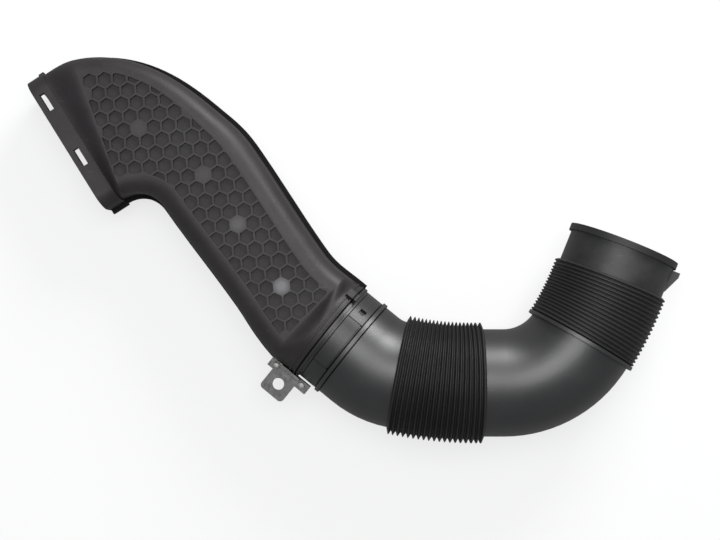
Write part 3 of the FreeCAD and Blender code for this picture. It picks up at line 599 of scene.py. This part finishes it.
def dull_zinc(name, dark, pale):
    """A metal whose flakes differ in tone, under a cloud of roughness."""
    material, tree, shader, where = new_finish(name)
    shader.inputs["Metallic"].default_value = ZINC_METAL
    flakes = tree.nodes.new("ShaderNodeTexVoronoi")
    flakes.inputs["Scale"].default_value = FLAKE_SCALE
    tree.links.new(where, flakes.inputs["Vector"])
    cloud = noise(tree, where, CLOUD_SCALE, CLOUD_DETAIL)
    share = product(tree, flakes.outputs["Color"], cloud)
    tree.links.new(colour_mix(tree, share, (*dark, 1), (*pale, 1)), shader.inputs["Base Color"])
    tree.links.new(ranged(tree, cloud, *ZINC_ROUGHNESS), shader.inputs["Roughness"])
    relief(tree, shader, cloud, ZINC_STRENGTH, ZINC_DEPTH)
    return material


BRACKET = dull_zinc("zinc_bracket", dark=(0.11, 0.11, 0.108), pale=(0.21, 0.21, 0.205))
RIVET = dull_zinc("zinc_rivet", dark=(0.3, 0.3, 0.29), pale=(0.46, 0.46, 0.45))
print("zincs:", BRACKET.name, RIVET.name)

# %% Give each solid its finish
FINISHES = {
    "duct_upper_shell": DUCT,
    "duct_lower_shell": DUCT,
    "coupling_collar": COLLAR,
    "coupling_seal": SEAL,
    "front_pipe": PIPE,
    "front_bellows": BELLOWS,
    "elbow_pipe": PIPE,
    "rear_bellows": BELLOWS,
    "outlet_cuff": CUFF,
    "outlet_seal": SEAL,
    "mounting_bracket": BRACKET,
    "bracket_rivets": RIVET,
}
for node_name, finish in FINISHES.items():
    dress(nodes[node_name], finish)
print("finished solids:", len(FINISHES))

# %% [markdown]
# ## Soft folds for the bellows
# The solids fold the bellows with sharp ridges, but rubber leaves the mould with round ones. A copy of each
# bellows has its triangles joined to quads, so that only the ridges and roots of the folds are sharp, and a
# bevel rounds those. The copy then stands for the solid, which keeps its place for contacts.

# %% Copy a solid, round its edges
MERGE_DISTANCE = 0.00001


def free_copy(node_name, name):
    """A free copy of a solid, left in edit mode with its doubled corners merged and all selected."""
    bpy.ops.object.select_all(action="DESELECT")
    solid = nodes[node_name]
    solid.select_set(True)
    bpy.context.view_layer.objects.active = solid
    bpy.ops.object.duplicate()
    copy = bpy.context.object
    copy.name = name
    copy.parent = None
    del copy["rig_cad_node"]
    bpy.ops.object.mode_set(mode="EDIT")
    bpy.ops.mesh.select_all(action="SELECT")
    bpy.ops.mesh.remove_doubles(threshold=MERGE_DISTANCE)
    return copy


def round_edges(piece, width, segments, sharp, smooth):
    """Leave edit mode, round all edges sharper than an angle and shade the rest smooth."""
    bpy.ops.mesh.normals_make_consistent(inside=False)
    bpy.ops.object.mode_set(mode="OBJECT")
    rounding = piece.modifiers.new("rounding", "BEVEL")
    rounding.width = width
    rounding.segments = segments
    rounding.limit_method = "ANGLE"
    rounding.angle_limit = math.radians(sharp)
    bpy.ops.object.modifier_apply(modifier=rounding.name)
    bpy.ops.object.shade_smooth_by_angle(angle=math.radians(smooth))


print("merge distance:", MERGE_DISTANCE)

# %% Round the folds
FOLD_ROUNDING = 0.0011
QUAD_BEND = math.radians(30)
QUAD_SKEW = math.radians(80)


def soft_bellows(node_name, name):
    """A copy of a bellows with rounded folds, which stands for the solid."""
    folds = free_copy(node_name, name)
    bpy.ops.mesh.tris_convert_to_quads(face_threshold=QUAD_BEND, shape_threshold=QUAD_SKEW)
    round_edges(folds, FOLD_ROUNDING, segments=3, sharp=40, smooth=35)
    dress(folds, BELLOWS)
    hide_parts(node_name)
    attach(folds, "root")
    return folds


soft_folds = [soft_bellows("front_bellows", "front_soft_folds"),
              soft_bellows("rear_bellows", "rear_soft_folds")]
for folds in soft_folds:
    size = [round(side, 4) for side in folds.dimensions]
    print(folds.name, "faces:", len(folds.data.polygons), "size:", size)

# %% [markdown]
# ## Ridges round the duct's end
# Two fine ridges run round the shell just before the coupling, where the mould parts. A ring could be turned
# on its own, but the shell's end is neither round nor square there. So a thin slice is cut out of a copy of
# the shell itself, swelled a little about the coupling's axis and softened along its edges: the ridge then
# follows the shell exactly, with its foot buried in the wall.

# %% Slice, swell and soften
RIDGE_FOOT = 5.0
RIDGE_ROUNDING = 0.0003


def shell_ridge(name, begin, end, swell):
    """A slice of the upper shell between two places along the axis, a little larger than the shell."""
    ridge = free_copy("duct_upper_shell", name)
    cuts = [(duct_point(begin, 0, 0), DUCT_AHEAD), (duct_point(end, 0, 0), -DUCT_AHEAD),
            (duct_point(0, 0, RIDGE_FOOT), DUCT_UP)]
    for place, keep_side in cuts:
        bpy.ops.mesh.select_all(action="SELECT")
        bpy.ops.mesh.bisect(plane_co=place, plane_no=keep_side, use_fill=True, clear_inner=True)
    bpy.ops.mesh.select_all(action="SELECT")
    middle = duct_point((begin + end) / 2, 0, 0)
    bpy.ops.transform.resize(value=(swell, swell, swell), center_override=middle)
    round_edges(ridge, RIDGE_ROUNDING, segments=2, sharp=30, smooth=40)
    dress(ridge, DUCT)
    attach(ridge, "root")
    return ridge


ridges = [shell_ridge("end_ridge_outer", begin=-19.2, end=-17.7, swell=1.022),
          shell_ridge("end_ridge_inner", begin=-23.0, end=-21.6, swell=1.018)]
print("ridges:", [(ridge.name, len(ridge.data.polygons)) for ridge in ridges])

# %% [markdown]
# ## Domed rivet heads
# The bracket's rivets are set with a round punch, which leaves a low dome on each head. A sphere is cut off
# at its equator, flattened and set on the flat head, and the second one is a copy with its own mesh.

# %% Domes
HEAD_RADIUS = 0.0028
DOME_SQUASH = (0.97, 0.97, 0.34)
RIVET_PLACES = [duct_point(-32.0, -43.3, 5.3), duct_point(-9.0, -43.3, 5.3)]
UPRIGHT = Matrix((DUCT_AHEAD, DUCT_LEFT, DUCT_UP)).transposed().to_4x4()

bpy.ops.object.select_all(action="DESELECT")
bpy.ops.mesh.primitive_uv_sphere_add(segments=32, ring_count=16, radius=HEAD_RADIUS)
dome = bpy.context.object
dome.name = "rivet_dome_0"
bpy.ops.object.mode_set(mode="EDIT")
bpy.ops.mesh.select_all(action="SELECT")
bpy.ops.mesh.bisect(plane_co=(0, 0, 0), plane_no=(0, 0, 1), use_fill=True, clear_inner=True)
bpy.ops.mesh.select_all(action="SELECT")
bpy.ops.transform.resize(value=DOME_SQUASH, center_override=(0, 0, 0))
bpy.ops.object.mode_set(mode="OBJECT")
bpy.ops.object.duplicate()
second_dome = bpy.context.object
second_dome.name = "rivet_dome_1"
for piece, place in zip((dome, second_dome), RIVET_PLACES):
    piece.data.transform(Matrix.Translation(place) @ UPRIGHT)
    dress(piece, RIVET)
    bpy.ops.object.select_all(action="DESELECT")
    piece.select_set(True)
    bpy.context.view_layer.objects.active = piece
    bpy.ops.object.shade_smooth_by_angle(angle=math.radians(40))
    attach(piece, "root")
print("domes:", dome.name, second_dome.name)
